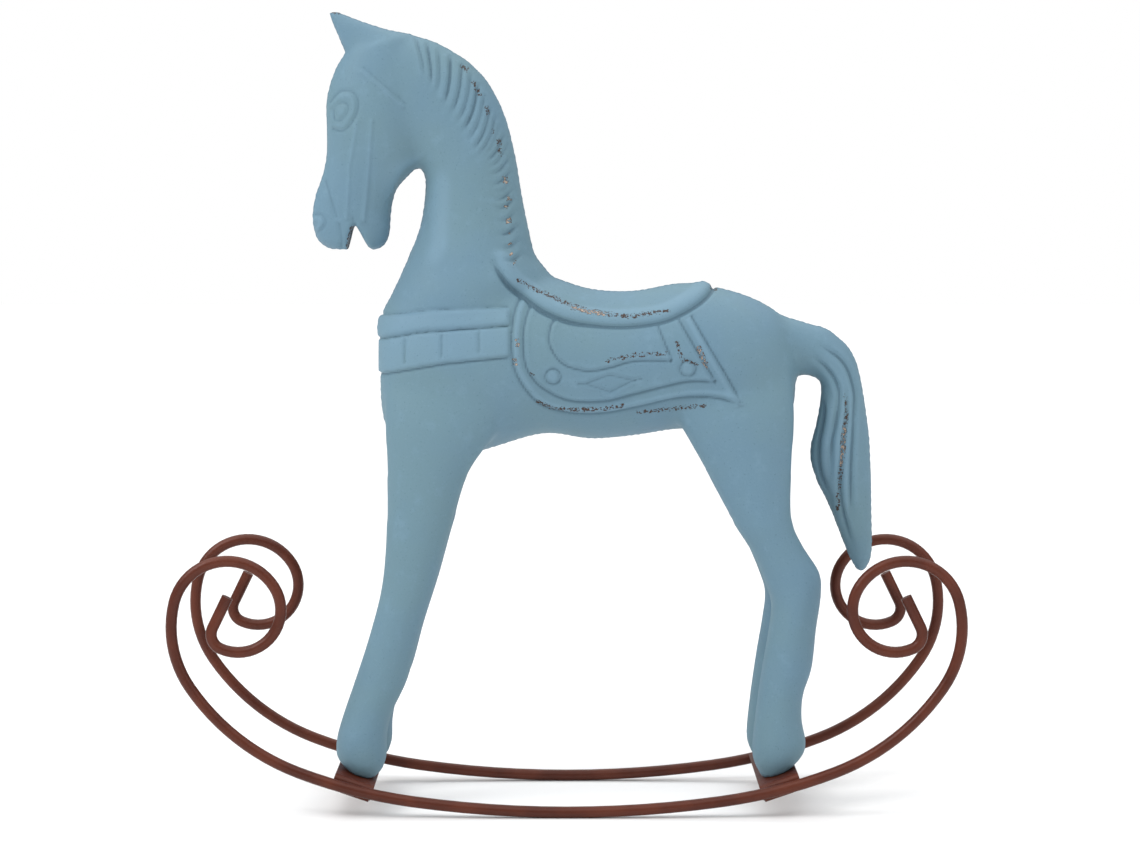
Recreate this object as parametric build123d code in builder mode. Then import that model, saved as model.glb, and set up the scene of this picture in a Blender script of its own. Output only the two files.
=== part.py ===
from build123d import *
import os
from math import asin, cos, hypot, radians, sin, tan

# Ornamental rocking horse, millimetres.
# The horse looks towards -X, its left side is -Y and +Z is up.
# The origin lies on the ground under the middle of the rockers, in the horse's centre plane.

# Overall sizes
rocker_length = 350.0  # over the outermost bends of a rod
rocker_gauge = 80.0  # between the centre planes of the two rods
horse_length = 250.0  # front of the muzzle to back of the tail
horse_height = 337.0  # hoof soles to ear tip
barrel_width = 62.0
leg_gauge = 40.0  # between the centre planes of a left and a right leg

# Horse
sheet = 1.0
seam_width = 1.0
seam_crown = 0.4  # how far the weld stands proud of the sheet
leg_thickness = 20.0
hoof_stand = 93.0  # middle of a hoof from the middle of the horse, in the pattern below

# Rockers: the bends that follow the long bottom arc, as radius and angle
rod_diameter = 5.0
bottom_angle = 8.0
rod_bends = ((225.0, 13.0), (100.0, 35.0), (47.0, 48.0), (24.0, 134.0), (18.8, 146.0), (6.8, 92.0))
stub_length = 15.0

# Cross plates
plate_width = 18.0
plate_thickness = 1.5
plate_tilt = 19.0
plate_rise = 1.4  # top of the plate above the top of the rods
lip_drop = 6.5
fold_radius = 1.0  # inside the fold between the plate and its lips
weld_radius = 1.1
weld_length = 13.0
weld_inset = 1.7  # bead inside the centre plane of the rod
weld_drop = 2.4  # bead below the centre line of the rod

# Fastenings
screw_diameter = 4.0
screw_length = 7.5
head_diameter = 7.5
head_height = 2.4
screw_clearance = 0.3  # on the diameter, in the plate and the sole
thread_clearance = 0.1  # on the diameter, in the nut
head_round = 1.2
recess_length = 3.75
recess_width = 0.83
recess_depth = 1.2
nut_width = 7.0
nut_height = 3.2

# The horse's outline, drawn for a horse 250 long, 337 high and 62 wide.
# Points are (distance behind the middle, height above the soles).
pattern_length = 250.0
pattern_height = 337.0
pattern_width = 62.0
pattern_leg = 20.0
oval_steps = 4

# Upright sections of the barrel: distance, underside, top, half width
barrel_sections = (
    (-83.0, 164.0, 200.0, 9.0),
    (-80.5, 152.0, 208.0, 17.0),
    (-72.0, 142.0, 217.0, 24.0),
    (-55.0, 138.0, 222.0, 28.5),
    (-35.0, 143.0, 222.0, 30.0),
    (-10.0, 150.0, 220.5, 30.5),
    (10.0, 147.5, 214.5, 31.0),
    (30.0, 149.0, 213.5, 31.0),
    (50.0, 152.0, 217.0, 31.0),
    (65.0, 151.0, 215.5, 30.0),
    (80.0, 149.0, 211.5, 27.5),
    (92.0, 150.0, 205.5, 22.0),
    (99.0, 156.0, 198.0, 14.0),
    (102.0, 164.0, 188.0, 8.0),
)

# Sections of the other parts: point on the front edge, point on the back edge, half width
neck_sections = (
    ((-80.0, 190.0), (-8.0, 206.0), 24.0),
    ((-80.0, 206.0), (-8.0, 221.0), 25.0),
    ((-72.0, 225.0), (-14.0, 229.0), 22.0),
    ((-65.5, 241.0), (-17.0, 241.0), 18.5),
    ((-63.0, 256.0), (-20.0, 256.0), 16.5),
    ((-63.5, 266.0), (-23.0, 274.0), 15.8),
    ((-72.0, 277.0), (-28.5, 294.0), 15.2),
    ((-82.0, 284.0), (-39.0, 311.0), 14.5),
    ((-92.0, 288.0), (-58.0, 323.5), 13.5),
    ((-98.0, 298.0), (-75.0, 327.5), 11.5),
)
head_sections = (
    ((-98.5, 318.0), (-70.0, 327.0), 11.0),
    ((-103.0, 310.0), (-62.0, 310.0), 14.0),
    ((-106.3, 298.0), (-62.0, 290.0), 16.0),
    ((-106.3, 285.0), (-64.0, 273.0), 15.5),
    ((-106.5, 274.0), (-69.0, 266.0), 13.5),
    ((-108.3, 265.0), (-75.5, 259.0), 12.0),
    ((-111.5, 256.0), (-78.0, 249.5), 11.0),
    ((-113.0, 246.0), (-78.5, 240.0), 10.5),
    ((-111.0, 237.0), (-80.5, 234.5), 9.5),
    ((-106.0, 232.5), (-84.5, 231.5), 7.0),
)
ear_sections = (
    ((-97.0, 316.0), (-68.0, 327.0), 10.0),
    ((-98.5, 323.0), (-79.0, 329.0), 7.5),
    ((-101.0, 330.0), (-90.0, 332.0), 5.0),
    ((-105.0, 336.8), (-101.5, 336.8), 1.6),
)
tail_sections = (
    ((95.0, 203.0), (94.0, 176.0), 10.0),
    ((109.0, 199.0), (106.0, 176.0), 9.0),
    ((119.0, 194.5), (112.5, 174.0), 8.5),
    ((129.0, 182.5), (114.0, 169.0), 8.5),
    ((134.5, 154.5), (112.5, 157.0), 9.5),
    ((136.0, 136.0), (108.7, 138.5), 10.0),
    ((136.6, 115.0), (118.5, 116.0), 8.0),
    ((136.8, 96.0), (126.0, 97.0), 5.5),
    ((134.0, 88.0), (130.5, 88.0), 2.0),
)
mouth_corners = ((-94.0, 245.5), (-98.0, 228.0), (-86.0, 228.0))

# Sections of the legs: front edge, back edge, half thickness, distance tucked in from the leg plane
front_leg_sections = (
    ((-79.0, 186.0), (-12.0, 180.0), 11.0, 7.0),
    ((-80.5, 160.0), (-27.0, 156.0), 12.0, 2.0),
    ((-79.5, 134.0), (-43.0, 134.0), 11.0, 0.5),
    ((-79.4, 109.0), (-51.5, 109.0), 10.5, 0.0),
    ((-81.5, 84.0), (-58.5, 84.0), 10.0, 0.0),
    ((-87.0, 62.0), (-65.5, 62.0), 9.5, 0.0),
    ((-93.5, 42.0), (-71.0, 42.0), 9.5, 0.0),
    ((-99.0, 26.0), (-77.5, 28.0), 10.0, 0.0),
    ((-101.8, 16.0), (-80.0, 18.0), 11.0, 0.0),
    ((-102.2, 9.0), (-80.4, 8.0), 11.0, 0.0),
    ((-101.0, 5.5), (-82.0, 2.0), 10.3, 0.0),
)
rear_leg_sections = (
    ((35.0, 182.0), (99.0, 184.0), 11.0, 8.0),
    ((48.0, 158.0), (101.0, 160.0), 12.5, 3.0),
    ((60.0, 137.0), (99.6, 137.0), 11.5, 1.2),
    ((73.5, 112.5), (99.3, 113.5), 10.5, 0.0),
    ((82.0, 99.0), (104.0, 101.5), 10.0, 0.0),
    ((88.5, 84.0), (111.5, 89.5), 10.0, 0.0),
    ((90.8, 75.0), (112.3, 79.0), 10.0, 0.0),
    ((89.5, 63.0), (110.3, 64.0), 9.8, 0.0),
    ((87.0, 48.0), (108.5, 47.0), 9.5, 0.0),
    ((85.0, 34.0), (104.8, 35.0), 9.5, 0.0),
    ((83.8, 24.0), (104.2, 24.0), 10.0, 0.0),
    ((82.8, 13.0), (106.0, 14.0), 11.0, 0.0),
    ((83.4, 5.0), (104.8, 8.0), 10.5, 0.0),
)
front_sole = (-97.5, -86.0)  # front and back of the sole
rear_sole = (87.0, 100.0)
sole_half_width = 8.2
rear_leg_joint = 4  # section at which the thigh meets the shank

# Room of the inner leg panels: ends of its floor on the sole, then its outline round the leg
front_floor = (-106.0, -74.0)
front_room = ((-20.0, 136.0), (-90.0, 136.0))
rear_floor = (78.0, 111.0)
rear_room = ((116.0, 80.0), (116.0, 95.0), (105.0, 136.0), (50.0, 136.0), (78.0, 90.0))

# Values that follow from the sizes above
long = horse_length / pattern_length
tall = horse_height / pattern_height
broad = barrel_width / pattern_width
stout = leg_thickness / pattern_leg
rod_radius = rod_diameter / 2
plate_centre = hoof_stand * long


def bottom_radius():
    """Radius of the long bottom arc that brings the rods to rocker_length."""
    reach = rocker_length / 2 - rod_radius
    heading = bottom_angle
    for radius, angle in rod_bends:
        turned = min(heading + angle, 90.0)
        if heading < 90.0:
            reach -= radius * (sin(radians(turned)) - sin(radians(heading)))
        heading += angle
    return reach / sin(radians(bottom_angle))


def rod_arcs():
    """Start point, heading, radius and turn of each bend, from the middle of a rod to its end."""
    start = (0.0, rod_radius)
    heading = 0.0
    arcs = []
    for radius, angle in ((bottom_radius(), bottom_angle), *rod_bends):
        arcs.append((start, heading, radius, angle))
        before, after = radians(heading), radians(heading + angle)
        end = (sin(after) - sin(before), cos(before) - cos(after))
        start = (start[0] + radius * end[0], start[1] + radius * end[1])
        heading += angle
    return arcs, start, heading


def rod_height(distance):
    """Height of the rod's centre line at a distance from the middle, below the scroll."""
    under = [arc for arc in rod_arcs()[0] if arc[0][0] <= distance and arc[1] < 90.0]
    start, heading, radius, _ = under[-1]
    here = asin(sin(radians(heading)) + (distance - start[0]) / radius)
    return start[1] + radius * (cos(radians(heading)) - cos(here))


plate_top = rod_height(plate_centre) + rod_radius + plate_rise


def place(point):
    """World X and Z of a point of the pattern."""
    return point[0] * long, plate_top + point[1] * tall


def on_plate(distance):
    """World X and Z of a sole point, which lies in the sloping plane of its plate."""
    across = abs(distance) * long - plate_centre
    return distance * long, plate_top + across * tan(radians(plate_tilt))


def oval(front, back, side, half):
    """Plane and radii of an oval section between its front and back points."""
    run = back[0] - front[0]
    rise = back[1] - front[1]
    middle = ((front[0] + back[0]) / 2, side, (front[1] + back[1]) / 2)
    plane = Plane(origin=middle, x_dir=(run, 0, rise), z_dir=(-rise, 0, run))
    return plane, hypot(run, rise) / 2, half


def half_ring(long_radius, short_radius):
    """Points along half of an oval, from one end of its long radius to the other."""
    turns = [radians(180 * step / oval_steps) for step in range(oval_steps + 1)]
    return [(long_radius * cos(turn), short_radius * sin(turn)) for turn in turns]


def tube(ovals, wall, starts_closed, ends_closed, joint=None):
    """Solid through a row of oval sections, or its hollow, one wall thickness inside.

    The hollow stops one wall short of an end that is closed.
    The row is lofted in one span, or in two that meet at the section numbered by joint.
    """
    spans = (ovals,) if joint is None else (ovals[: joint + 1], ovals[joint:])
    first, last = ovals[0][0], ovals[-1][0]
    ahead = 1 if (last.origin - first.origin).dot(first.z_dir) > 0 else -1
    with BuildPart() as solid:
        for span in spans:
            for plane, long_radius, short_radius in span:
                thinned = min(wall, short_radius / 2)
                front_half = half_ring(long_radius - thinned, short_radius - thinned)
                back_half = half_ring(thinned - long_radius, thinned - short_radius)
                with BuildSketch(plane):
                    with BuildLine():
                        Spline(*front_half, tangents=[(0, 1), (0, -1)])
                        Spline(*back_half, tangents=[(0, -1), (0, 1)])
                    make_face()
            loft()
        if wall > 0 and starts_closed:
            split(bisect_by=first.offset(ahead * wall), keep=Keep.TOP if ahead > 0 else Keep.BOTTOM)
        if wall > 0 and ends_closed:
            split(bisect_by=last.offset(-ahead * wall), keep=Keep.BOTTOM if ahead > 0 else Keep.TOP)
    return solid.part


def barrel_ovals():
    """Upright ovals of the barrel."""
    return [
        oval(place((distance, low)), place((distance, top)), 0.0, half * broad)
        for distance, low, top, half in barrel_sections
    ]


def body_ovals(sections):
    """Ovals of the neck, head, ear or tail."""
    return [oval(place(front), place(back), 0.0, half * broad) for front, back, half in sections]


def leg_ovals(sections, sole):
    """Ovals of a left leg, closed by the sole that stands on the plate."""
    ovals = []
    for front, back, half, tuck in sections:
        side = -leg_gauge / 2 + tuck * broad
        ovals.append(oval(place(front), place(back), side, half * stout))
    ovals.append(oval(on_plate(sole[0]), on_plate(sole[1]), -leg_gauge / 2, sole_half_width * stout))
    return ovals


def mouth(wall):
    """Wedge between the lips, with its apex at the corner of the mouth, wider by the wall all round."""
    with BuildPart() as wedge:
        with BuildSketch(Plane.XZ):
            with BuildLine():
                Polyline(*[place(corner) for corner in mouth_corners], close=True)
            make_face()
            if wall != 0:
                offset(amount=wall, kind=Kind.ARC)
        extrude(amount=barrel_width / 2, both=True)
    return wedge.part


def body(wall):
    """Barrel, neck, head, ear and tail as one solid, or their common hollow.

    A wall below zero makes the solid that much larger all round.
    """
    limbs = (
        tube(barrel_ovals(), wall, True, True),
        tube(body_ovals(tail_sections), wall, False, True),
        tube(body_ovals(neck_sections), wall, False, False),
        tube(body_ovals(head_sections), wall, True, True),
        tube(body_ovals(ear_sections), wall, False, True),
    )
    lips = mouth(wall)
    with BuildPart() as whole:
        for limb in limbs:
            add(limb)
        add(lips, mode=Mode.SUBTRACT)
    return whole.part


def leg(behind, wall):
    """Left leg, front (-1) or rear (1), as a solid or its hollow."""
    if behind < 0:
        return tube(leg_ovals(front_leg_sections, front_sole), wall, False, True)
    return tube(leg_ovals(rear_leg_sections, rear_sole), wall, False, True, rear_leg_joint)


def plate_plane(behind):
    """Plane of a plate's top face, with X running backwards along its slope."""
    slope = radians(plate_tilt)
    return Plane(
        origin=(behind * plate_centre, 0, plate_top),
        x_dir=(cos(slope), 0, behind * sin(slope)),
        z_dir=(-behind * sin(slope), 0, cos(slope)),
    )


def panel_room(outline, sole):
    """Block between a leg plane and the seam that holds a leg's inner half and nothing else."""
    sole_top = sheet / cos(radians(plate_tilt))
    floor = [(x, z + sole_top) for x, z in (on_plate(distance) for distance in sole)]
    with BuildPart() as room:
        with BuildSketch(Plane.XZ.offset(seam_width / 2)):
            with BuildLine():
                Polyline(*floor, *[place(corner) for corner in outline], close=True)
            make_face()
        extrude(amount=(leg_gauge - seam_width) / 2)
    return room.part


def leg_panel(outside, hollow, room):
    """Inner half of a left leg, from the top of the sole up to the barrel."""
    with BuildPart() as panel:
        add(outside)
        add(hollow, mode=Mode.SUBTRACT)
        add(room, mode=Mode.INTERSECT)
    return panel


def half_shell(outside, hollow, rooms):
    """Left half of the horse, open where the inner leg panels go, with a screw hole in each sole."""
    with BuildPart() as shell:
        add(outside)
        add(hollow, mode=Mode.SUBTRACT)
        split(bisect_by=Plane.XZ.offset(seam_width / 2))
        for room in rooms:
            add(room, mode=Mode.SUBTRACT)
        for behind in (-1, 1):
            with Locations(plate_plane(behind).offset(sheet)):
                with Locations((0, -leg_gauge / 2)):
                    Hole((screw_diameter + screw_clearance) / 2, depth=sheet)
    return shell


def seam_bead(grown, hollow):
    """Weld bead that fills the seam between the half shells and stands a little proud."""
    with BuildPart() as bead:
        add(grown)
        split(bisect_by=Plane.XZ.offset(seam_width / 2), keep=Keep.BOTTOM)
        split(bisect_by=Plane.XZ.offset(-seam_width / 2), keep=Keep.TOP)
        add(hollow, mode=Mode.SUBTRACT)
    return bead


def mirrored(piece):
    """Right-hand copy of a left-hand piece."""
    with BuildPart() as copy:
        mirror(piece.part, about=Plane.XZ)
    return copy


def rocker(side):
    """One bent rod in its upright plane, with a scroll and a hooked stub at each end."""
    arcs, end, heading = rod_arcs()
    stub = (end[0] + stub_length * cos(radians(heading)), end[1] + stub_length * sin(radians(heading)))
    upright = Plane.XZ.offset(-side * rocker_gauge / 2)
    with BuildPart() as rod:
        with BuildLine(upright) as route:
            for start, before, radius, angle in arcs:
                JernArc(start, (cos(radians(before)), sin(radians(before))), radius, angle)
            Line(end, stub)
            mirror(about=Plane.YZ)
        stub_end = upright.from_local_coords(stub)
        stub_start = upright.from_local_coords(end)
        with BuildSketch(Plane(stub_end, z_dir=stub_start - stub_end)):
            Circle(rod_radius)
        sweep()
    return rod


def cross_plate(behind):
    """Strip across the rods, its two ends folded down against their inner sides."""
    top = plate_plane(behind)
    half_span = rocker_gauge / 2 - rod_radius
    across = Plane(origin=top.origin, x_dir=(0, 1, 0), z_dir=top.x_dir)
    with BuildPart() as plate:
        with BuildSketch(across.offset(-plate_width / 2)) as profile:
            with Locations((0, -lip_drop / 2)):
                Rectangle(2 * half_span, lip_drop)
            with Locations((0, -(lip_drop + plate_thickness) / 2)):
                Rectangle(2 * (half_span - plate_thickness), lip_drop - plate_thickness, mode=Mode.SUBTRACT)
            rows = profile.vertices().group_by(Axis.Y)
            fillet(rows[-1], fold_radius + plate_thickness)
            fillet(rows[-2], fold_radius)
        extrude(amount=plate_width)
        with Locations(top):
            with Locations((0, -leg_gauge / 2), (0, leg_gauge / 2)):
                Hole((screw_diameter + screw_clearance) / 2, depth=plate_thickness)
    return plate


def plate_welds(behind, rods, plate):
    """Two beads under the joints between a plate's lips and the rods."""
    slope = radians(plate_tilt)
    centre_line = rod_height(plate_centre)
    with BuildPart() as beads:
        for side in (-1, 1):
            middle = (
                behind * plate_centre,
                side * (rocker_gauge / 2 - weld_inset),
                centre_line - weld_drop,
            )
            along = Plane(origin=middle, x_dir=(0, 1, 0), z_dir=(cos(slope), 0, behind * sin(slope)))
            with BuildSketch(along.offset(-weld_length / 2)):
                Circle(weld_radius)
            extrude(amount=weld_length)
        for piece in (*rods, plate):
            add(piece.part, mode=Mode.SUBTRACT)
    return beads


def hoof_screw(behind, side):
    """Pan-head screw with a cross recess, pushed up through a plate and a sole."""
    seat = plate_plane(behind).offset(-plate_thickness)
    middle = seat.from_local_coords((0, side * leg_gauge / 2, 0))
    under = Plane(origin=middle, x_dir=seat.x_dir, z_dir=seat.z_dir)
    with BuildPart() as screw:
        with BuildSketch(under):
            Circle(screw_diameter / 2)
        extrude(amount=screw_length)
        with BuildSketch(under):
            Circle(head_diameter / 2)
        extrude(amount=-head_height)
        rim = screw.edges().filter_by(GeomType.CIRCLE).sort_by(Axis.Z)[0]
        fillet(rim, head_round)
        with BuildSketch(under.offset(-head_height)):
            Rectangle(recess_length, recess_width)
            Rectangle(recess_width, recess_length)
        extrude(amount=recess_depth, mode=Mode.SUBTRACT)
    return screw


def hoof_nut(behind, side):
    """Hexagon nut on the sole, inside a hoof."""
    seat = plate_plane(behind).offset(sheet)
    middle = seat.from_local_coords((0, side * leg_gauge / 2, 0))
    on_sole = Plane(origin=middle, x_dir=seat.x_dir, z_dir=seat.z_dir)
    with BuildPart() as nut:
        with BuildSketch(on_sole):
            RegularPolygon(nut_width / 2, 6, major_radius=False)
            Circle((screw_diameter + thread_clearance) / 2, mode=Mode.SUBTRACT)
        extrude(amount=nut_height)
    return nut


def write(name, piece):
    """Label a piece and write it as a STEP file."""
    piece.part.label = name
    export_step(piece.part, f"parts/{name}.step")


os.makedirs("parts", exist_ok=True)

legs = {behind: leg(behind, 0.0) for behind in (-1, 1)}
leg_hollows = {behind: leg(behind, sheet) for behind in (-1, 1)}
rooms = {-1: panel_room(front_room, front_floor), 1: panel_room(rear_room, rear_floor)}
body_hollow = body(sheet)

with BuildPart() as horse:
    add(body(0.0))
    add(legs.values())
with BuildPart() as horse_hollow:
    add(body_hollow)
    add(leg_hollows.values())

# Horse
left_shell = half_shell(horse.part, horse_hollow.part, rooms.values())
write("left_shell", left_shell)
write("right_shell", mirrored(left_shell))
write("seam_weld", seam_bead(body(-seam_crown), body_hollow))
for behind, end in ((-1, "front"), (1, "rear")):
    panel = leg_panel(legs[behind], leg_hollows[behind], rooms[behind])
    write(f"{end}_left_leg_panel", panel)
    write(f"{end}_right_leg_panel", mirrored(panel))

# Rockers
rockers = [rocker(side) for side in (-1, 1)]
write("left_rocker", rockers[0])
write("right_rocker", rockers[1])
for behind, end in ((-1, "front"), (1, "rear")):
    plate = cross_plate(behind)
    write(f"{end}_cross_plate", plate)
    write(f"{end}_plate_welds", plate_welds(behind, rockers, plate))
    for side, hand in ((-1, "left"), (1, "right")):
        write(f"{end}_{hand}_hoof_screw", hoof_screw(behind, side))
        write(f"{end}_{hand}_hoof_nut", hoof_nut(behind, side))
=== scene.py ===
import bmesh
import bpy
import numpy as np
from math import atan2, hypot, radians, sin
from mathutils import Matrix, Vector


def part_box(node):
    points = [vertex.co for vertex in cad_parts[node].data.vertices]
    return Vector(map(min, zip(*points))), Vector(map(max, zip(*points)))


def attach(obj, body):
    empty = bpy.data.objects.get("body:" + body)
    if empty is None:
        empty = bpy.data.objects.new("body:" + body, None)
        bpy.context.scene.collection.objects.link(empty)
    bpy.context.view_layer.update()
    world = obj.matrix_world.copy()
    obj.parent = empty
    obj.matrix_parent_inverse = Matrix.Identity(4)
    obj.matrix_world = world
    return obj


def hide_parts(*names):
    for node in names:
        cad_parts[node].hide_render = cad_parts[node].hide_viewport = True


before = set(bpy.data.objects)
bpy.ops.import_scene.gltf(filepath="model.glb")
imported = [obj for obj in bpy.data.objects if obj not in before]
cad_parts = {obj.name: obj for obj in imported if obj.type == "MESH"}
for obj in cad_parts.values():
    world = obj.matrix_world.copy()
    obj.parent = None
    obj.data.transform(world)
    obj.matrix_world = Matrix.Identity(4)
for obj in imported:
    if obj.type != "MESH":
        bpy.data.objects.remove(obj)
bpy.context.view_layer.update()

# The two rockers are round steel rods, bent cold into a long bow with a scroll at each end
# and sprayed with a satin rust-brown lacquer, which thins and shines on the top of the bends.


class Wire:
    """A shader socket that can be added to, taken from and multiplied like a number."""

    def __init__(self, tree, socket):
        self.tree = tree
        self.socket = socket

    def node(self, kind, output, settings=(), **values):
        """A node of a kind: its settings first, then the values or links of its sockets."""
        made = self.tree.nodes.new("ShaderNode" + kind)
        for name, value in dict(settings).items():
            if name == "stops":
                ramp = made.color_ramp.elements
                while len(ramp) < len(value):
                    ramp.new(1.0)
                for stop, (place, colour) in zip(ramp, value):
                    stop.position = place
                    stop.color = (*colour, 1.0)
            else:
                setattr(made, name, value)
        for name, value in values.items():
            key = int(name[1:]) if name[1:].isdigit() else name.replace("_", " ")
            target = made.inputs[key]
            if isinstance(value, Wire):
                self.tree.links.new(value.socket, target)
            else:
                target.default_value = value
        return Wire(self.tree, made.outputs[output])

    def sum_of(self, operation, *terms):
        values = {f"i{place}": term for place, term in enumerate(terms)}
        return self.node("Math", 0, {"operation": operation}, **values)

    def __add__(self, other):
        return self.sum_of("ADD", self, other)

    def __radd__(self, other):
        return self.sum_of("ADD", other, self)

    def __sub__(self, other):
        return self.sum_of("SUBTRACT", self, other)

    def __rsub__(self, other):
        return self.sum_of("SUBTRACT", other, self)

    def __mul__(self, other):
        return self.sum_of("MULTIPLY", self, other)

    def __rmul__(self, other):
        return self.sum_of("MULTIPLY", other, self)

    def ramp(self, low, high):
        """0 below low, 1 above high, and smooth between."""
        settings = {"interpolation_type": "SMOOTHSTEP"}
        return self.node("MapRange", 0, settings, Value=self, From_Min=low, From_Max=high)

    def mix(self, first, second):
        """The colour that is first where the wire is 0 and second where it is 1."""
        return self.node("Mix", 2, {"data_type": "RGBA"}, i0=self, i6=first, i7=second)


def paint(name, roughness, metallic=0.0, coat=0.0):
    """A material with its shader, and a wire that holds the piece's own coordinates."""
    material = bpy.data.materials.new(name)
    material.use_nodes = True
    tree = material.node_tree
    shader = tree.nodes["Principled BSDF"]
    shader.inputs["Roughness"].default_value = roughness
    shader.inputs["Metallic"].default_value = metallic
    shader.inputs["Coat Weight"].default_value = coat
    place = Wire(tree, tree.nodes.new("ShaderNodeTexCoord").outputs["Object"])
    return material, shader, place


def noise(place, per_metre, detail=2.0, rough=0.5):
    """Cloudy noise between 0 and 1, with so many lumps to the metre."""
    return place.node(
        "TexNoise", 0, Vector=place, Scale=per_metre, Detail=detail, Roughness=rough
    )


def feed(shader, name, wire):
    wire.tree.links.new(wire.socket, shader.inputs[name])


def bump(shader, height, distance, strength=1.0):
    """Presses a height pattern into a shader's normal; distance is its depth in metres."""
    normal = height.node("Bump", 0, Height=height, Distance=distance, Strength=strength)
    feed(shader, "Normal", normal)


def dress(material, *nodes):
    """Gives CAD nodes one material."""
    for name in nodes:
        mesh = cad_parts[name].data
        mesh.materials.clear()
        mesh.materials.append(material)


lacquer_dark = (0.070, 0.015, 0.007, 1.0)
lacquer = (0.105, 0.024, 0.011, 1.0)
lacquer_worn = (0.160, 0.052, 0.030, 1.0)


def rust_lacquer():
    material, shader, place = paint("rust_brown_lacquer", 0.34, metallic=0.1)
    cloud = noise(place, 60.0, 3.0)
    speck = noise(place, 900.0, 2.0)
    shader.inputs["Specular IOR Level"].default_value = 0.28
    tone = cloud.ramp(0.30, 0.70).mix(lacquer_dark, lacquer)
    feed(shader, "Base Color", (speck.ramp(0.66, 0.78) * 0.3).mix(tone, lacquer_worn))
    feed(shader, "Roughness", 0.27 + 0.22 * cloud)
    bump(shader, noise(place, 700.0, 3.0), 0.00025, 0.5)
    return material


dress(rust_lacquer(), "left_rocker", "right_rocker")

# Two pressed plates tie the rods together under the hooves, with folded lips that are welded
# to the insides of the rods. They are sprayed together with the rods.

plate_lacquer = rust_lacquer()
plate_lacquer.name = "plate_lacquer"
for end in ("front", "rear"):
    dress(plate_lacquer, f"{end}_cross_plate", f"{end}_plate_welds")

# Each hoof is held by a steel screw from below the plate and a nut inside the hoof, which
# was put on before the inner panel of the leg was closed.


def turned_steel():
    material, shader, place = paint("screw_steel", 0.32, metallic=1.0)
    shader.inputs["Base Color"].default_value = (0.56, 0.55, 0.53, 1.0)
    feed(shader, "Roughness", 0.26 + 0.2 * noise(place, 1500.0))
    return material


screw_steel = turned_steel()
for end in ("front", "rear"):
    for side in ("left", "right"):
        dress(screw_steel, f"{end}_{side}_hoof_screw", f"{end}_{side}_hoof_nut")

# The horse is pressed from thin steel sheet in a left and a right half, which meet in the
# middle, and the inside of each leg is closed by a panel of its own. The saddle, harness and
# mane are pressed into the sheet, and the whole is sprayed a chalky blue, rubbed through at edges.

# Lengths are in millimetres, and soles is how high the hooves stand above the ground
mm = 0.001
ear_height = 336.8
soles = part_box("left_shell")[1].z / mm - ear_height
seam_half = 0.5
voxel = 0.92
ring_points = 48

# Sections of the horse: front edge, back edge, half width, distance from the centre plane,
# as (distance behind the middle, height above the soles)
barrel = [
    ((distance, low), (distance, top), half, 0.0)
    for distance, low, top, half in (
        (-83.0, 164.0, 200.0, 9.0),
        (-80.5, 152.0, 208.0, 17.0),
        (-72.0, 142.0, 217.0, 24.0),
        (-55.0, 138.0, 222.0, 28.5),
        (-35.0, 143.0, 222.0, 30.0),
        (-10.0, 150.0, 220.5, 30.5),
        (10.0, 147.5, 214.5, 31.0),
        (30.0, 149.0, 213.5, 31.0),
        (50.0, 152.0, 217.0, 31.0),
        (65.0, 151.0, 215.5, 30.0),
        (80.0, 149.0, 211.5, 27.5),
        (92.0, 150.0, 205.5, 22.0),
        (99.0, 156.0, 198.0, 14.0),
        (102.0, 164.0, 188.0, 8.0),
    )
]
neck = (
    ((-80.0, 190.0), (-8.0, 206.0), 24.0, 0.0),
    ((-80.0, 206.0), (-8.0, 221.0), 25.0, 0.0),
    ((-72.0, 225.0), (-14.0, 229.0), 22.0, 0.0),
    ((-65.5, 241.0), (-17.0, 241.0), 18.5, 0.0),
    ((-63.0, 256.0), (-20.0, 256.0), 16.5, 0.0),
    ((-63.5, 266.0), (-23.0, 274.0), 15.8, 0.0),
    ((-72.0, 277.0), (-28.5, 294.0), 15.2, 0.0),
    ((-82.0, 284.0), (-39.0, 311.0), 14.5, 0.0),
    ((-92.0, 288.0), (-58.0, 323.5), 13.5, 0.0),
    ((-98.0, 298.0), (-75.0, 327.5), 11.5, 0.0),
)
head = (
    ((-98.5, 318.0), (-70.0, 327.0), 11.0, 0.0),
    ((-103.0, 310.0), (-62.0, 310.0), 14.0, 0.0),
    ((-106.3, 298.0), (-62.0, 290.0), 16.0, 0.0),
    ((-106.3, 285.0), (-64.0, 273.0), 15.5, 0.0),
    ((-106.5, 274.0), (-69.0, 266.0), 13.5, 0.0),
    ((-108.3, 265.0), (-75.5, 259.0), 12.0, 0.0),
    ((-111.5, 256.0), (-78.0, 249.5), 11.0, 0.0),
    ((-113.0, 246.0), (-78.5, 240.0), 10.5, 0.0),
    ((-111.0, 237.0), (-80.5, 234.5), 9.5, 0.0),
    ((-106.0, 232.5), (-84.5, 231.5), 7.0, 0.0),
)
ear = (
    ((-96.5, 316.0), (-68.0, 327.0), 10.0, 0.0),
    ((-99.8, 323.5), (-79.0, 329.0), 7.2, 0.0),
    ((-102.8, 330.5), (-90.0, 332.3), 4.8, 0.0),
    ((-105.4, 336.8), (-101.6, 336.8), 1.6, 0.0),
)
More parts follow.
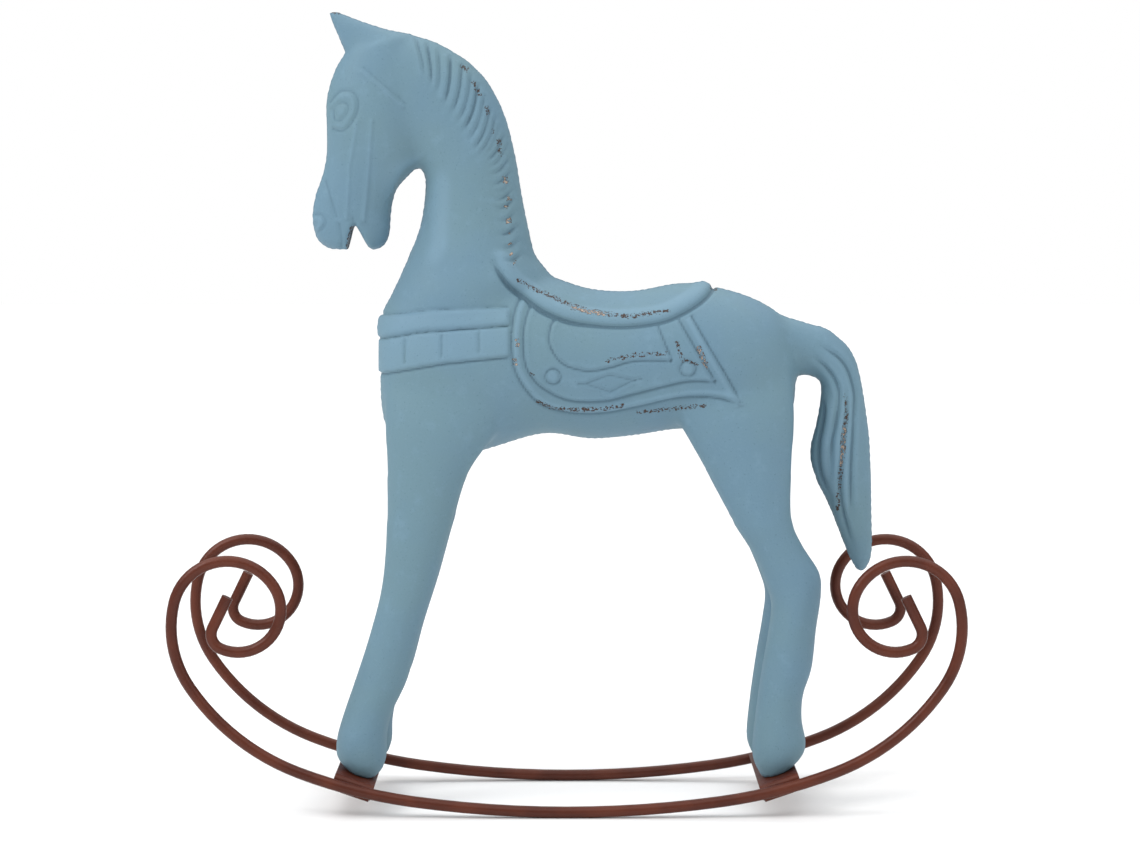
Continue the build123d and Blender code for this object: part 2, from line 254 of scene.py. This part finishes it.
tail = (
    ((95.0, 203.0), (94.0, 176.0), 10.0, 0.0),
    ((109.0, 199.0), (106.0, 176.0), 9.0, 0.0),
    ((119.0, 194.5), (112.5, 174.0), 8.5, 0.0),
    ((129.0, 182.5), (114.0, 169.0), 8.5, 0.0),
    ((134.5, 154.5), (112.5, 157.0), 9.5, 0.0),
    ((136.0, 136.0), (108.7, 138.5), 10.0, 0.0),
    ((136.6, 115.0), (118.5, 116.0), 8.0, 0.0),
    ((136.8, 96.0), (126.0, 97.0), 5.5, 0.0),
    ((134.0, 88.0), (130.5, 88.0), 2.0, 0.0),
)
front_leg = (
    ((-79.0, 186.0), (-12.0, 180.0), 11.0, 13.0),
    ((-80.5, 160.0), (-27.0, 156.0), 12.0, 18.0),
    ((-79.5, 134.0), (-43.0, 134.0), 11.0, 19.5),
    ((-79.4, 109.0), (-51.5, 109.0), 10.5, 20.0),
    ((-81.5, 84.0), (-58.5, 84.0), 10.0, 20.0),
    ((-87.0, 62.0), (-65.5, 62.0), 9.5, 20.0),
    ((-93.5, 42.0), (-71.0, 42.0), 9.5, 20.0),
    ((-99.0, 26.0), (-77.5, 28.0), 10.0, 20.0),
    ((-101.8, 16.0), (-80.0, 18.0), 11.0, 20.0),
    ((-102.2, 9.0), (-80.4, 8.0), 11.0, 20.0),
    ((-101.0, 5.5), (-82.0, 2.0), 10.3, 20.0),
    ((-97.5, 1.6), (-86.0, -2.4), 8.2, 20.0),
)
rear_leg = (
    ((35.0, 182.0), (99.0, 184.0), 11.0, 12.0),
    ((48.0, 158.0), (101.0, 160.0), 12.5, 17.0),
    ((60.0, 137.0), (99.6, 137.0), 11.5, 18.8),
    ((73.5, 112.5), (99.3, 113.5), 10.5, 20.0),
    ((82.0, 99.0), (104.0, 101.5), 10.0, 20.0),
    ((88.5, 84.0), (111.5, 89.5), 10.0, 20.0),
    ((90.8, 75.0), (112.3, 79.0), 10.0, 20.0),
    ((89.5, 63.0), (110.3, 64.0), 9.8, 20.0),
    ((87.0, 48.0), (108.5, 47.0), 9.5, 20.0),
    ((85.0, 34.0), (104.8, 35.0), 9.5, 20.0),
    ((83.8, 24.0), (104.2, 24.0), 10.0, 20.0),
    ((82.8, 13.0), (106.0, 14.0), 11.0, 20.0),
    ((83.4, 5.0), (104.8, 8.0), 10.5, 20.0),
    ((87.0, -2.1), (100.0, 2.4), 8.2, 20.0),
)
mouth = ((-94.5, 245.5), (-98.5, 228.0), (-86.0, 228.0))


def curve(points, steps=6):
    """A smooth line through points of any number of columns."""
    points = np.array(points, float)
    padded = np.vstack((2 * points[0] - points[1], points, 2 * points[-1] - points[-2]))
    line = []
    for before, start, end, after in zip(padded, padded[1:], padded[2:], padded[3:]):
        bend = 2 * before - 5 * start + 4 * end - after
        twist = 3 * start - before - 3 * end + after
        for t in np.arange(steps) / steps:
            line.append(start + 0.5 * ((end - before) * t + bend * t**2 + twist * t**3))
    line.append(points[-1])
    return np.array(line)


def ring_edges(ring):
    """The edges that join the points of one ring."""
    points = set(ring)
    return list({
        edge for point in ring for edge in point.link_edges if edge.other_vert(point) in points
    })


def limb(mesh, sections, hand=1):
    """A closed tube through oval sections, each turned into its own slope."""
    rows = curve([(*front, *back, half, side) for front, back, half, side in sections])
    before = []
    for number, (ahead, ahead_height, behind, behind_height, half, side) in enumerate(rows):
        run, rise = behind - ahead, behind_height - ahead_height
        height = soles + (ahead_height + behind_height) / 2
        middle = Vector(((ahead + behind) / 2, hand * side, height))
        place = Matrix.Translation(middle * mm) @ Matrix.Rotation(-atan2(rise, run), 4, "Y")
        oval = Matrix.Diagonal((hypot(run, rise) / 2 * mm, half * mm, 1.0, 1.0))
        is_end = number in (0, len(rows) - 1)
        ring = bmesh.ops.create_circle(
            mesh, cap_ends=is_end, segments=ring_points, radius=1.0, matrix=place @ oval
        )["verts"]
        edges = ring_edges(ring)
        if before:
            bmesh.ops.bridge_loops(mesh, edges=before + edges)
        before = edges


def solid_of(mesh, *changes):
    """The mesh after modifiers, each given as its kind and its settings."""
    bmesh.ops.recalc_face_normals(mesh, faces=mesh.faces)
    data = bpy.data.meshes.new("blank")
    mesh.to_mesh(data)
    mesh.free()
    blank = bpy.data.objects.new("blank", data)
    bpy.context.scene.collection.objects.link(blank)
    for kind, settings in changes:
        modifier = blank.modifiers.new(kind, kind)
        for name, value in settings.items():
            setattr(modifier, name, value)
    depsgraph = bpy.context.evaluated_depsgraph_get()
    made = bpy.data.meshes.new_from_object(blank.evaluated_get(depsgraph))
    bpy.data.objects.remove(blank)
    return made


# The mouth is a notch between the lips, cut through the head before the limbs are joined.
notch_half = 0.03
notch = bmesh.new()
lips = [notch.verts.new((x * mm, -notch_half, (soles + z) * mm)) for x, z in mouth]
wedge = bmesh.ops.extrude_face_region(notch, geom=[notch.faces.new(lips)])
deep = [item for item in wedge["geom"] if isinstance(item, bmesh.types.BMVert)]
bmesh.ops.translate(notch, verts=deep, vec=(0.0, 2 * notch_half, 0.0))
cutter = bpy.data.objects.new("mouth_notch", solid_of(notch))
bpy.context.scene.collection.objects.link(cutter)
skull = bmesh.new()
limb(skull, head)
bite = {"operation": "DIFFERENCE", "object": cutter, "solver": "EXACT"}
cut_head = solid_of(skull, ("BOOLEAN", bite))
bpy.data.objects.remove(cutter)

horse = bmesh.new()
horse.from_mesh(cut_head)
for sections in (barrel, neck, ear, tail):
    limb(horse, sections)
for hand in (-1, 1):
    limb(horse, front_leg, hand)
    limb(horse, rear_leg, hand)
skin = bmesh.new()
skin.from_mesh(solid_of(horse, ("REMESH", {"mode": "VOXEL", "voxel_size": voxel * mm})))


def soften(points, times):
    """Draws each point towards its neighbours, so that the limbs run into each other."""
    for _ in range(times):
        bmesh.ops.smooth_vert(
            skin, verts=points, factor=0.5, use_axis_x=True, use_axis_y=True, use_axis_z=True
        )


def between(low_x, high_x, low_z, high_z):
    """The points of the skin in a box of the side view."""
    return [
        point for point in skin.verts
        if low_x * mm < point.co.x < high_x * mm and low_z * mm < point.co.z < high_z * mm
    ]


# The body, the neck, the jaw and the crown: how often each is softened, and its box
for times, box in (
    (45, (-95.0, 112.0, 128.0, 246.0)),
    (26, (-92.0, 0.0, 246.0, 330.0)),
    (20, (-78.0, -48.0, 284.0, 316.0)),
    (14, (-97.0, -45.0, 322.0, 346.0)),
):
    soften(between(*box), times)
times_all_over = 4
soften(list(skin.verts), times_all_over)

sheet = bpy.data.meshes.new("pressed_sheet")
skin.to_mesh(sheet)
skin.free()

# Relief: every line below is drawn on the side of the horse, as (distance behind the middle,
# height above the ground) in millimetres, and is pressed into both halves alike.
count = len(sheet.vertices)
flat = np.empty(count * 3, np.float32)
sheet.vertices.foreach_get("co", flat)
at = flat.reshape(-1, 3).astype(float) / mm
flat = np.empty(count * 3, np.float32)
sheet.vertex_normals.foreach_get("vector", flat)
out = flat.reshape(-1, 3).astype(float)
across, up = at[:, 0], at[:, 2]

# The pattern is full on skin that faces sideways, and dies out where it turns to the seam
edge_on, turned = 0.12, 0.4
side = np.clip((np.abs(out[:, 1]) - edge_on) / turned, 0.0, 1.0)

# A line is felt within its reach, and everything past that counts as far
reach = 9.0
far = 99.0
shortest = 1e-9


def gap(line):
    """Distance of the skin's points from a line, above 0 on its left and below 0 on its right."""
    line = np.array(line, float)
    low, high = line.min(0) - reach, line.max(0) + reach
    level = (up > low[1]) & (up < high[1])
    near = np.flatnonzero((across > low[0]) & (across < high[0]) & level)
    best = np.full(len(near), far)
    hand = np.ones(len(near))
    for number, (start, end) in enumerate(zip(line, line[1:])):
        run = end - start
        away = np.stack((across[near] - start[0], up[near] - start[1]), 1)
        whole = away @ run / max(run @ run, shortest)
        along = np.clip(whole, 0.0, 1.0)
        distance = np.hypot(*(away - along[:, None] * run).T)
        if number == 0:
            distance[whole < 0.0] = far
        if number == len(line) - 2:
            distance[whole > 1.0] = far
        closer = distance < best
        best[closer] = distance[closer]
        hand[closer] = np.sign(run[0] * away[:, 1] - run[1] * away[:, 0])[closer]
    gaps = np.full(count, far)
    gaps[near] = best * np.where(hand == 0, 1.0, hand)
    return gaps


def swell(gaps, centre, width):
    """A rounded ridge 1 high along a line, with its crest so far to the left and so wide."""
    return np.exp(-(((gaps - centre) / width) ** 2))


def step(values, low, high):
    """0 below low and 1 above high, smooth between."""
    t = np.clip((values - low) / (high - low), 0.0, 1.0)
    return t * t * (3 - 2 * t)


relief = np.zeros(count)

# Saddle pad: a stuffed roll, with a groove under it where it overhangs the blanket
pad_edge = curve([
    (-33.0, 243.5), (-25.2, 233.1), (-18.6, 227.9), (-9.9, 221.8), (1.0, 217.4), (11.9, 215.6),
    (22.8, 214.9), (33.7, 215.6), (44.4, 217.8), (55.1, 223.0), (62.0, 228.0), (67.5, 234.5),
])
pad = gap(pad_edge)
pad_front = step(across, -34.0, -26.0)
relief += pad_front * (1.7 * swell(pad, 3.4, 3.2) - 1.5 * swell(pad, -0.2, 1.0))
relief -= 0.9 * pad_front * swell(pad, -0.8, 1.2) * (1 - step(across, -14.0, 20.0))

# Blanket: piped all round, with a flap line, two studs and a diamond on it
blanket_edges = (
    curve([
        (-19.0, 229.5), (-22.4, 222.0), (-23.8, 212.0), (-23.6, 202.0), (-21.7, 194.3),
        (-16.5, 185.6), (-9.9, 179.9), (1.0, 176.8), (16.0, 176.8), (31.0, 179.6), (47.7, 183.4),
        (59.5, 184.3), (68.0, 183.4), (75.8, 180.8),
    ]),
    [(76.6, 181.0), (70.4, 192.0), (62.9, 204.6), (54.4, 219.5)],
)
blanket_lines = (
    curve([
        (-15.0, 226.0), (-17.6, 219.0), (-18.9, 211.0), (-18.4, 201.0), (-16.0, 194.0),
        (-9.9, 187.4), (1.0, 182.3), (16.3, 182.1), (28.1, 184.9), (44.4, 189.1), (54.3, 191.0),
        (65.6, 190.6),
    ]),
    [(65.2, 190.6), (56.4, 205.0), (48.4, 219.0)],
)
under_pad = step(-pad, 0.5, 2.0)
under_pad[pad == far] = 1.0
for edge in blanket_edges:
    border = gap(edge)
    relief += under_pad * side * (0.85 * swell(border, 1.8, 1.5) - 0.85 * swell(border, -0.1, 0.75))
for line in blanket_lines:
    border = gap(line)
    relief += under_pad * side * (0.4 * swell(border, 1.4, 1.2) - 0.85 * swell(border, 0.0, 0.75))

flap_lines = (
    curve([
        (-4.0, 219.5), (-6.9, 214.9), (-7.3, 207.3), (-3.8, 201.0), (1.0, 197.5), (9.7, 195.7),
        (18.4, 197.0), (27.2, 199.6), (35.9, 200.3), (46.0, 200.1),
    ]),
    [(46.0, 200.1), (41.8, 210.0), (38.9, 218.0)],
)
for line in flap_lines:
    border = gap(line)
    relief += under_pad * side * (0.4 * swell(border, 1.2, 1.0) - 0.8 * swell(border, 0.0, 0.7))

stud_radius = 3.4
for stud in ((-6.0, 193.1), (52.9, 196.6)):
    radius = np.hypot(across - stud[0], up - stud[1])
    relief += side * 0.5 * (1 - step(radius, stud_radius - 1.2, stud_radius - 0.4))
    relief -= side * 0.6 * swell(radius, stud_radius, 0.6)

diamond = [(4.5, 190.2), (8.0, 190.0), (18.4, 194.0), (29.4, 191.6), (18.9, 186.2), (8.0, 190.0)]
diamond_tail = [(29.4, 191.6), (33.5, 192.4)]
relief -= side * 0.5 * swell(gap(diamond), 0.0, 0.6)
relief += side * 0.25 * swell(gap(diamond), 1.1, 0.8)
relief -= side * 0.5 * swell(gap(diamond_tail), 0.0, 0.6)

# Breast collar: a rolled band over a flat one that is sewn across, both round the chest
collar_top, collar_middle, collar_bottom = (
    np.interp(across, distances, heights)
    for distances, heights in (
        ((-90.0, -76.9, -59.0, -23.1), (218.5, 219.8, 222.0, 223.4)),
        ((-90.0, -81.8, -64.3, -24.0), (208.6, 209.1, 212.4, 215.5)),
        ((-90.0, -79.6, -53.3, -23.9), (192.6, 194.1, 198.9, 202.0)),
    )
)
collar_end = 1 - step(across, -26.0, -24.6)
roll = np.clip((up - collar_middle) / (collar_top - collar_middle), 0.0, 1.0)
relief += collar_end * 1.5 * np.sqrt(np.clip(1 - (2 * roll - 1) ** 4, 0.0, 1.0))
band = (up > collar_bottom) & (up < collar_middle)
from_edge = np.minimum(up - collar_bottom, collar_middle - up)
relief += collar_end * 0.8 * np.where(band, step(from_edge, 0.0, 0.9), 0.0)
for edge_height in (collar_top, collar_middle, collar_bottom):
    relief -= collar_end * 0.7 * swell(up - edge_height, -0.3, 0.7)
for tick in (-70.8, -54.5, -38.4):
    stitched = band * step(up - collar_bottom, 2.0, 3.5) * step(collar_middle - up, 1.0, 2.5)
    relief -= side * 0.75 * swell(across - tick, 0.0, 0.6) * stitched

# Head: eye, cheek, bridle straps, nostril and lips
eye_ring = curve([
    (-104.5, 312.5), (-99.5, 317.2), (-94.0, 316.6), (-91.8, 312.0), (-93.7, 305.6),
    (-98.4, 300.9), (-103.5, 301.8),
])
eye_socket = gap(eye_ring)
relief += side * (0.4 * swell(eye_socket, -1.5, 1.6) - 0.55 * swell(eye_socket, 0.3, 0.9))
eye_lid = curve([
    (-102.5, 304.6), (-102.6, 309.8), (-99.5, 312.7), (-96.4, 311.8), (-96.2, 308.6),
    (-99.1, 305.0), (-102.5, 304.6),
])
relief -= side * 0.5 * swell(gap(eye_lid), 0.0, 0.8)
eyeball = (-99.3, 308.7)
from_eyeball = np.hypot(across - eyeball[0], up - eyeball[1])
relief += side * 0.45 * swell(from_eyeball, 0.0, 2.6)
straps = (
    [(-90.5, 326.8), (-71.3, 310.5)],
    [(-91.9, 305.5), (-95.9, 284.8), (-97.4, 261.5)],
    [(-85.6, 305.5), (-87.3, 284.8), (-89.9, 260.5)],
)
for strap in straps:
    relief += side * 0.55 * swell(gap(strap), 0.0, 0.9)
relief -= side * 0.35 * swell(gap(straps[0]), 1.7, 0.8)
cheek = gap(curve([
    (-45.0, 312.0), (-53.8, 299.3), (-58.6, 293.7), (-65.2, 287.5), (-72.0, 283.5), (-76.5, 276.0),
]))
jaw_width = 7.0
jaw_slope = step(-cheek, -1.5, 2.0) * np.exp(-np.clip(-cheek, 0.0, far) / jaw_width)
jaw = np.where(cheek == far, 0.0, jaw_slope)
relief += side * 1.1 * jaw * (1 - step(up, 283.0, 297.0))
nostril = gap(curve([(-112.0, 263.0), (-108.8, 262.6), (-107.3, 260.0), (-109.2, 257.2)], 4))
relief += side * 0.8 * swell(nostril, -1.2, 1.4) - side * 0.5 * swell(nostril, 0.5, 0.8)
for crease in (
    curve([(-107.0, 279.0), (-104.0, 270.0), (-101.5, 262.0)], 4),
    [(-100.6, 260.0), (-99.6, 253.0), (-99.8, 248.5)],
    [(-94.8, 262.5), (-90.0, 250.0)],
):
    relief -= side * 0.4 * swell(gap(crease), 0.0, 0.9)

# Neck: a soft column down its front, and the mane in combed locks behind
column = gap([(-54.4, 291.0), (-55.2, 272.0), (-56.0, 250.0), (-62.0, 232.0)])
column_ends = step(up, 233.0, 250.0) * (1 - step(up, 274.0, 291.0))
relief += side * 0.8 * swell(column, 0.0, 5.0) * column_ends
lock_count = 21
roots = curve([
    (-66.5, 342.0), (-56.0, 336.5), (-45.0, 329.5), (-38.0, 320.0), (-32.5, 309.5),
    (-28.5, 301.0), (-25.0, 292.0), (-24.0, 279.5), (-22.6, 272.5), (-21.5, 259.5),
    (-19.5, 246.5),
])
tips = curve([
    (-61.5, 320.0), (-56.8, 313.5), (-50.5, 304.5), (-45.5, 297.0), (-41.8, 288.0),
    (-38.0, 285.5), (-35.5, 281.0), (-34.4, 273.0), (-33.4, 266.5), (-32.2, 255.5),
    (-31.4, 243.4),
])
for lock in range(lock_count + 1):
    spot = lock / lock_count * (len(roots) - 1)
    root, tip = (
        np.array([np.interp(spot, np.arange(len(row)), row[:, axis]) for axis in (0, 1)])
        for row in (roots, tips)
    )
    sag = 0.03 + 0.12 * lock / lock_count
    middle = (root + tip) / 2 + (tip - root)[::-1] * (-1, 1) * sag
    strand = gap(curve([root, middle, tip], 5))
    fade = step(np.hypot(across - tip[0], up - tip[1]), 0.5, 8.0)
    fade *= step(np.hypot(across - root[0], up - root[1]), -2.0, 5.0)
    depth = 0.75 + 0.2 * sin(lock * 2.4)
    relief += side * fade * (0.4 * swell(strand, -2.0, 1.5) - depth * swell(strand, 0.0, 0.85))

# Tail: long locks that follow its bend
strands = (
    [(106.0, 203.0), (115.8, 195.1), (121.0, 184.9), (119.6, 171.3), (117.7, 161.0), (118.0, 143.9)],
    [(109.0, 208.0), (122.6, 198.5), (127.6, 186.2), (127.4, 172.4), (126.4, 148.5), (127.0, 122.0)],
    [(113.0, 189.0), (114.6, 176.0), (112.2, 161.0), (113.5, 148.0), (121.0, 132.0)],
    [(123.8, 192.0), (124.4, 175.8), (122.8, 161.0), (121.8, 143.9), (124.0, 129.0), (130.0, 110.0)],
)
for strand in strands:
    border = gap(curve(strand))
    fade = side.copy()
    for end, dies_out in ((strand[0], 14.0), (strand[-1], 20.0)):
        fade *= step(np.hypot(across - end[0], up - end[1]), 1.0, dies_out)
    relief += fade * (0.45 * swell(border, 2.2, 1.6) + 0.45 * swell(border, -2.2, 1.6))
    relief -= fade * swell(border, 0.0, 0.9)

# Legs: the weld of the inner panel shows down the front and back edge of each leg
panel_top = 150.0
leg_plane = 20.0
edge_weld = swell(np.abs(at[:, 1]), leg_plane, 0.7) * (1 - side)
relief += 0.3 * edge_weld * (1 - step(up, panel_top - 3.0, panel_top)) * step(up, 20.0, 24.0)
at += out * relief[:, None]


def worn(lines, width):
    """1 on lines where the paint is worn through, falling to 0 at a distance from them."""
    amount = np.zeros(count)
    for line in lines:
        amount = np.maximum(amount, np.exp(-((gap(line) / width) ** 2)))
    return amount


# Where the paint has flaked off to the dark undercoat, and where it is rubbed to the bare beige
# filler
dark_lines = [
    [(-47.0, 329.5), (-43.2, 326.8)],
    [(-41.5, 322.5), (-39.6, 318.8), (-38.0, 315.5)],
    [(-35.6, 311.5), (-34.6, 307.0)],
    [(-32.7, 301.8), (-32.2, 299.0)],
    [(-29.9, 296.9), (-29.1, 288.9)],
    [
        (-22.0, 235.5), (-16.4, 232.2), (-5.5, 227.4), (1.0, 224.4), (9.7, 221.4), (27.1, 219.2),
        (45.4, 221.8),
    ],
    [(-14.0, 182.2), (-6.0, 179.0), (1.0, 178.4), (14.5, 178.6), (26.0, 180.4)],
    [(30.0, 176.8), (45.0, 178.6), (56.0, 179.8), (62.0, 180.6)],
    [(123.9, 184.5), (124.4, 175.8), (122.8, 161.0), (121.4, 143.9), (121.0, 131.0)],
    [(47.6, 209.0), (50.5, 200.5), (57.5, 198.5)],
    [(17.0, 200.0), (30.0, 202.8), (44.0, 203.4)],
    [(-16.0, 195.5), (-14.6, 193.5)],
    [(-103.8, 338.0), (-99.5, 335.0)],
    [(63.5, 232.0), (67.0, 229.8)],
]
bare_lines = [
    [(-27.6, 280.5), (-26.6, 277.0)],
    [(-26.2, 272.0), (-25.2, 269.5)],
    [(-27.2, 267.5), (-26.3, 266.0)],
    [(-25.9, 262.5), (-25.6, 259.5)],
    [(-25.0, 256.4), (-24.3, 255.6)],
    [(-25.4, 251.0), (-24.4, 250.2)],
    [(-24.9, 246.8), (-23.8, 246.2)],
    [(-23.4, 242.9), (-22.5, 242.5)],
    [(57.0, 206.5), (61.5, 196.5)],
    [(2.0, 223.6), (8.0, 221.6), (18.0, 220.0)],
    [(123.6, 170.0), (122.2, 152.0)],
    [(-21.7, 210.0), (-21.4, 206.0)],
    [(-22.6, 201.5), (-22.0, 198.0)],
]
# Painted shade: the back-facing inner wall of the mouth notch gets the dark undercoat colour,
# standing in for the shade inside the notch
in_mouth = (across > -100.0) & (across < -87.0) & (up > 245.0) & (up < 263.5)
faces_back = out[:, 0] > 0.45
ear_wear = step(up, 350.8, 352.3) * 0.9
mark_width = 1.7
dark = np.maximum(worn(dark_lines, mark_width), 1.0 * (in_mouth & faces_back))
marks = {
    "chipped": np.maximum(dark, ear_wear),
    "rubbed": worn(bare_lines, mark_width),
    # The relief height, which the paint turns into a painted highlight on raised ridges and painted
    # shade in sunken grooves
    "pressed": np.clip(relief / 2.4 + 0.5, 0.0, 1.0),
}
flat = (at * mm).astype(np.float32).ravel()
sheet.vertices.foreach_set("co", flat)
for name, amount in marks.items():
    layer = sheet.attributes.new(name, "FLOAT", "POINT")
    layer.data.foreach_set("value", amount.astype(np.float32))
sheet.update()

# Paint colours: the pale one is both a paler random tone and the painted highlight on raised relief;
# the deep one is both dark grain specks and the painted shade in sunken relief
chalk_blue = (0.126, 0.228, 0.306, 1.0)
pale_chalk_and_ridge_highlight = (0.170, 0.290, 0.385, 1.0)
deep_chalk_and_groove_shade = (0.074, 0.142, 0.192, 1.0)
chalk_green = (0.133, 0.233, 0.284, 1.0)
# The dark undercoat colour, used both for real chips and for the painted shade inside the mouth
# notch
primer_and_mouth_shade = (0.050, 0.032, 0.026, 1.0)
filler = (0.40, 0.31, 0.245, 1.0)


def chalk_paint():
    material, shader, place = paint("chalk_blue_paint", 0.62)
    shader.inputs["Specular IOR Level"].default_value = 0.35
    pressed = place.node("Attribute", 2, {"attribute_name": "pressed"})
    chipped = place.node("Attribute", 2, {"attribute_name": "chipped"})
    rubbed = place.node("Attribute", 2, {"attribute_name": "rubbed"})
    cloud = noise(place, 22.0, 3.0)
    mottle = noise(place, 160.0, 4.0, 0.6)
    grain = noise(place, 1150.0, 3.0)
    crumbs = noise(place, 850.0, 4.0, 0.7)
    flakes = crumbs.ramp(0.36, 0.64)
    tone = cloud.ramp(0.3, 0.7).mix(chalk_blue, chalk_green)
    tone = (mottle.ramp(0.52, 0.78) * 0.35).mix(tone, pale_chalk_and_ridge_highlight)
    # Painted highlight on raised relief and painted shade in grooves and creases: lighter where the
    # sheet stands up, darker where it sinks
    tone = (pressed.ramp(0.56, 0.8) * 0.42).mix(tone, pale_chalk_and_ridge_highlight)
    tone = ((1 - pressed.ramp(0.22, 0.46)) * 0.75).mix(tone, deep_chalk_and_groove_shade)
    tone = (grain.ramp(0.64, 0.72) * 0.45).mix(tone, deep_chalk_and_groove_shade)
    tone = ((1 - grain.ramp(0.30, 0.37)) * 0.30).mix(tone, pale_chalk_and_ridge_highlight)
    mark_share, flake_share = 0.62, 0.5
    rubbed_flakes = rubbed * mark_share + flakes * flake_share
    # Chips and the painted shade in the mouth notch both take the dark undercoat colour
    flaked_chips_and_mouth_shade = chipped * mark_share + flakes * flake_share
    bare = rubbed_flakes.ramp(0.90, 0.95)
    rim = rubbed_flakes.ramp(0.76, 0.82)
    broken_and_mouth_shade = flaked_chips_and_mouth_shade.ramp(0.84, 0.90)
    tone = rim.mix(tone, primer_and_mouth_shade)
    tone = broken_and_mouth_shade.mix(tone, primer_and_mouth_shade)
    feed(shader, "Base Color", bare.mix(tone, filler))
    feed(shader, "Roughness", 0.56 + 0.14 * mottle)
    height = 1 - broken_and_mouth_shade * 0.7 - bare * 0.6 + 0.35 * grain + 0.45 * crumbs
    bump(shader, height, 0.0003, 0.55)
    return material


chalk = chalk_paint()
sheet.materials.clear()
sheet.materials.append(chalk)


def slab(left, right):
    """A closed piece of the pressed sheet, between two upright planes along the horse."""
    part = bmesh.new()
    part.from_mesh(sheet)
    for offset, turn in ((left, -1), (right, 1)):
        if offset is not None:
            everything = part.verts[:] + part.edges[:] + part.faces[:]
            cut = bmesh.ops.bisect_plane(
                part, geom=everything, plane_co=(0.0, offset * mm, 0.0), plane_no=(0.0, turn, 0.0),
                clear_outer=True,
            )
            rim = [edge for edge in cut["geom_cut"] if isinstance(edge, bmesh.types.BMEdge)]
            bmesh.ops.triangle_fill(part, edges=rim, use_beauty=False)
    return part


def stand(mesh, name, material):
    """Makes a mesh into an object of the scene."""
    data = bpy.data.meshes.new(name)
    mesh.to_mesh(data)
    mesh.free()
    data.materials.clear()
    data.materials.append(material)
    data.shade_smooth()
    made = bpy.data.objects.new(name, data)
    bpy.context.scene.collection.objects.link(made)
    return made


for hand, left, right in (("left", None, -seam_half), ("right", seam_half, None)):
    half = stand(slab(left, right), f"{hand}_pressed_half", chalk)
    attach(half, "root")
    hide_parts(f"{hand}_shell", f"front_{hand}_leg_panel", f"rear_{hand}_leg_panel")
    dress(chalk, f"{hand}_shell", f"front_{hand}_leg_panel", f"rear_{hand}_leg_panel")

# The two halves are joined by a thin weld all the way round, ground down and painted over,
# with a few burrs left standing at the ear, the lips and the belly.

bead = slab(-seam_half, seam_half)
bead.normal_update()
crown = 0.22
burr = 0.12
cut_face = 0.75
for point in bead.verts:
    if abs(point.normal.y) < cut_face:
        ripple = sin(point.co.x / mm * 2.1) * sin(point.co.z / mm * 1.7)
        point.co += point.normal * (crown + burr * ripple) * mm * (1 - abs(point.normal.y))
seam = stand(bead, "middle_seam", chalk)
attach(seam, "root")
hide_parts("seam_weld")
dress(chalk, "seam_weld")

# The ornament stands on a plain white table under soft light from large lamps.

table_half = 6.0
table = bmesh.new()
bmesh.ops.create_grid(table, x_segments=1, y_segments=1, size=table_half)
table_paint, table_shader, _ = paint("white_table", 0.9)
table_shader.inputs["Base Color"].default_value = (0.86, 0.86, 0.86, 1.0)
floor = stand(table, "floor", table_paint)

world = bpy.data.worlds.new("studio")
bpy.context.scene.world = world
world.use_nodes = True
sky = world.node_tree.nodes
white = (1.0, 1.0, 1.0, 1.0)
sky["Background"].inputs["Color"].default_value = white
sky["Background"].inputs["Strength"].default_value = 0.43
white_wall = sky.new("ShaderNodeBackground")
white_wall.inputs["Color"].default_value = white
choice = sky.new("ShaderNodeMixShader")
for plug, socket in (
    (sky.new("ShaderNodeLightPath").outputs["Is Camera Ray"], choice.inputs[0]),
    (sky["Background"].outputs[0], choice.inputs[1]),
    (white_wall.outputs[0], choice.inputs[2]),
    (choice.outputs[0], sky["World Output"].inputs["Surface"]),
):
    world.node_tree.links.new(plug, socket)

# Two square lamps, each with its place, its width and its power, face the horse's middle
aim = Vector((0.0, 0.0, 0.18))
lamps = (
    ("key", (-1.3, -0.75, 1.25), 0.7, 13.5),
    ("fill", (1.4, -1.0, 0.7), 1.0, 4.0),
)
for name, place, width, power in lamps:
    light = bpy.data.lights.new(name, "AREA")
    light.size = width
    light.energy = power
    lamp = bpy.data.objects.new(name, light)
    lamp.location = place
    lamp.rotation_euler = (aim - Vector(place)).to_track_quat("-Z", "Y").to_euler()
    bpy.context.scene.collection.objects.link(lamp)

ceiling = bpy.data.lights.new("ceiling", "SUN")
ceiling.energy = 2.7
ceiling.angle = radians(100.0)
overhead = bpy.data.objects.new("ceiling", ceiling)
bpy.context.scene.collection.objects.link(overhead)

# The camera stands by the left side, at the height of the mane, and looks a little down
view = bpy.data.cameras.new("view")
view.sensor_width = 36.0
view.lens = 88.42
look_down, look_right = 4.62, 0.03
camera = bpy.data.objects.new("view", view)
camera.location = (0.0008, -1.25, 0.2695)
camera.rotation_euler = (radians(90.0 - look_down), 0.0, radians(-look_right))
bpy.context.scene.collection.objects.link(camera)
bpy.context.scene.camera = camera
bpy.context.scene.view_settings.view_transform = "Standard"
